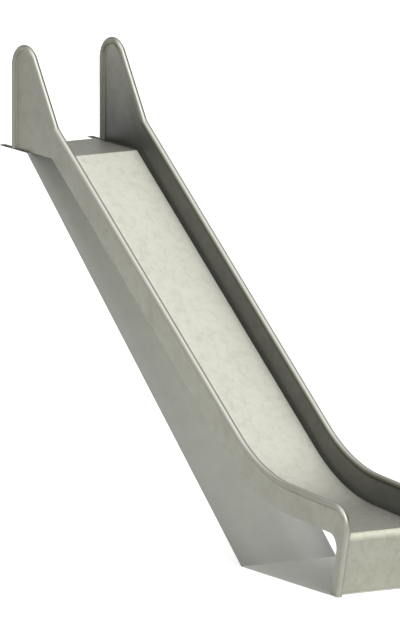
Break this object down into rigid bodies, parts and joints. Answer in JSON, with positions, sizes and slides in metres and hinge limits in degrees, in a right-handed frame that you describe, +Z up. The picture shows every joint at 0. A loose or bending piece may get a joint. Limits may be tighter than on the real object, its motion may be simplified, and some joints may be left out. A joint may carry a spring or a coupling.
{
  "type": "embankment slide",
  "caption": "Straight stainless steel slide for a bank: sheet cheeks edged by a round tube, hand-hold ears, sheet bed, curved run-out, folded back sheet on a base plate.",
  "frame": {"origin": "middle of the base plate, on its underside, at ground level", "axes": "+Z up; -Y is the way the slide points, towards the outlet; +X is to the right of someone who looks up the slide from the outlet"},
  "size_m": [0.615, 3.902, 2.6079],
  "materials": {
    "edge_tube": "satin polished round tube with a bright streak",
    "cheek_sheet": "matt mill finish sheet, faintly mottled and smudged",
    "cheek_foot": "dull dirt-darkened strip in the corner beside the bed",
    "bed_sheet": "satin sheet polished by use, mottled with faint smudges",
    "back_sheet": "plain matt sheet, smoother and cooler than the cheeks",
    "anchor_tab": "dark dull steel strap"
  },
  "bodies": {
    "root": {"anchor_tab_left": "anchor_tab", "anchor_tab_right": "anchor_tab", "apron": "bed_sheet", "back_sheet": "back_sheet", "base_plate": "back_sheet", "bend_bed": "bed_sheet", "bend_cheek_left": "cheek_sheet", "bend_cheek_right": "cheek_sheet", "bend_foot_left": "cheek_foot", "bend_foot_right": "cheek_foot", "bottom_bend_tube_left": "edge_tube", "bottom_bend_tube_right": "edge_tube", "ear_back_tube_left": "edge_tube", "ear_back_tube_right": "edge_tube", "ear_front_tube_left": "edge_tube", "ear_front_tube_right": "edge_tube", "ear_plate_left": "cheek_sheet", "ear_plate_right": "cheek_sheet", "ear_top_bend_left": "edge_tube", "ear_top_bend_right": "edge_tube", "leg_cheek_left": "cheek_sheet", "leg_cheek_right": "cheek_sheet", "leg_tube_left": "edge_tube", "leg_tube_right": "edge_tube", "nose": "bed_sheet", "outlet_bend_tube_left": "edge_tube", "outlet_bend_tube_right": "edge_tube", "platform_foot_left": "cheek_foot", "platform_foot_right": "cheek_foot", "platform_plate": "bed_sheet", "runout_bed": "bed_sheet", "runout_cheek_left": "cheek_sheet", "runout_cheek_right": "cheek_sheet", "runout_tube_left": "edge_tube", "runout_tube_right": "edge_tube", "slope_bed": "bed_sheet", "slope_cheek_left": "cheek_sheet", "slope_cheek_right": "cheek_sheet", "slope_foot_left": "cheek_foot", "slope_foot_right": "cheek_foot", "slope_tube_left": "edge_tube", "slope_tube_right": "edge_tube", "top_flange": "back_sheet"}
  },
  "joints": []
}
